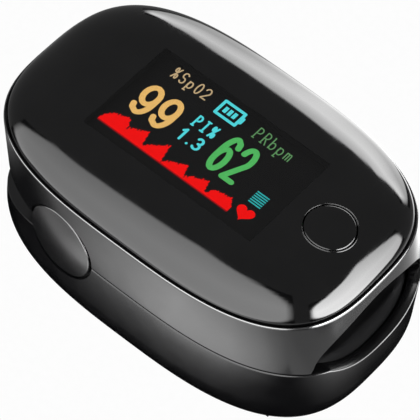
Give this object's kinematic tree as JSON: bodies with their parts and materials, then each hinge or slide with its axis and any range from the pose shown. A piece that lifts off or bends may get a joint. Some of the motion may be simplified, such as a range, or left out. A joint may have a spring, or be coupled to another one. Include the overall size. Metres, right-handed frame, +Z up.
{
  "type": "fingertip pulse oximeter",
  "caption": "Clip-on fingertip pulse oximeter with two hinged jaws, a domed lens over a colour display, a round power button and a sliding battery door.",
  "frame": {"origin": "under the middle of the object on its resting face", "axes": "+Z up, +X out of the finger opening, +Y to the left of someone looking out of it"},
  "size_m": [0.061, 0.0386, 0.0309],
  "materials": {
    "housing_gloss": "polished black ABS",
    "cap_plastic": "dark grey satin ABS",
    "smoked_lens": "smoked, polished polycarbonate",
    "button_gloss": "polished black polycarbonate",
    "display_glass": "display glass, black when unlit",
    "inner_plastic": "moulded black ABS",
    "flex_film": "amber polyimide film",
    "circuit_board": "green solder mask over glass laminate",
    "screw_steel": "zinc plated steel",
    "chip_resin": "black moulding resin",
    "chip_ceramic": "sintered ceramic",
    "plunger_plastic": "white nylon",
    "pad_silicone": "soft black silicone",
    "led_resin": "clear resin over a white case",
    "sensor_window": "deep red polished acrylic",
    "cell_sleeve": "printed sleeve over steel",
    "contact_metal": "nickel plated spring strip",
    "spring_steel": "drawn spring wire",
    "axle_steel": "ground steel"
  },
  "bodies": {
    "lower_jaw": {"lower_housing": "housing_gloss", "lower_frame": "inner_plastic", "lower_frame_screws": "screw_steel", "lower_pad": "pad_silicone", "detector_flex": "flex_film", "photodiode": "chip_resin", "detector_window": "sensor_window", "jaw_cable": "flex_film", "battery_right": "cell_sleeve", "battery_left": "cell_sleeve", "contact_bridge": "contact_metal", "contact_plate_right": "contact_metal", "contact_plate_left": "contact_metal", "contact_spring_rear": "spring_steel", "contact_spring_front": "spring_steel", "hinge_axle": "axle_steel", "jaw_spring_left": "spring_steel", "jaw_spring_right": "spring_steel", "pivot_cap_right": "cap_plastic", "pivot_cap_left": "cap_plastic"},
    "upper_jaw": {"upper_housing": "housing_gloss", "display_lens": "smoked_lens", "display_panel": "display_glass", "display_holder": "inner_plastic", "display_ribbon": "flex_film", "main_board": "circuit_board", "board_screws": "screw_steel", "controller_chip": "chip_resin", "buzzer": "chip_resin", "support_chips": "chip_resin", "board_capacitors": "chip_ceramic", "switch_base": "inner_plastic", "upper_frame": "inner_plastic", "upper_frame_screws": "screw_steel", "upper_pad": "pad_silicone", "emitter_board": "circuit_board", "emitter_leds": "led_resin", "emitter_window": "sensor_window"},
    "button": {"power_button": "button_gloss"},
    "plunger": {"switch_plunger": "plunger_plastic"},
    "door": {"battery_door": "housing_gloss"}
  },
  "joints": [
    {"name": "jaw_hinge", "type": "hinge", "parent": "lower_jaw", "child": "upper_jaw", "pos_m": [-0.0115, 0, 0.0172], "axis": [0, -1, 0], "range_deg": [0, 20], "stiffness_Nm_per_rad": 0.12, "springref_deg": -34.38, "deforming": ["jaw_cable", "jaw_spring_left", "jaw_spring_right"]},
    {"name": "button_press", "type": "slide", "parent": "upper_jaw", "child": "button", "axis": [0, 0, -1], "range_m": [0, 0.0003]},
    {"name": "plunger_press", "type": "slide", "parent": "upper_jaw", "child": "plunger", "axis": [0, 0, -1], "range_m": [0, 0.0003]},
    {"name": "door_slide", "type": "slide", "parent": "lower_jaw", "child": "door", "axis": [-1, 0, 0], "range_m": [0, 0.05]}
  ],
  "couplings": [
    {"joint": "plunger_press", "follows": "button_press", "ratio": 1}
  ]
}
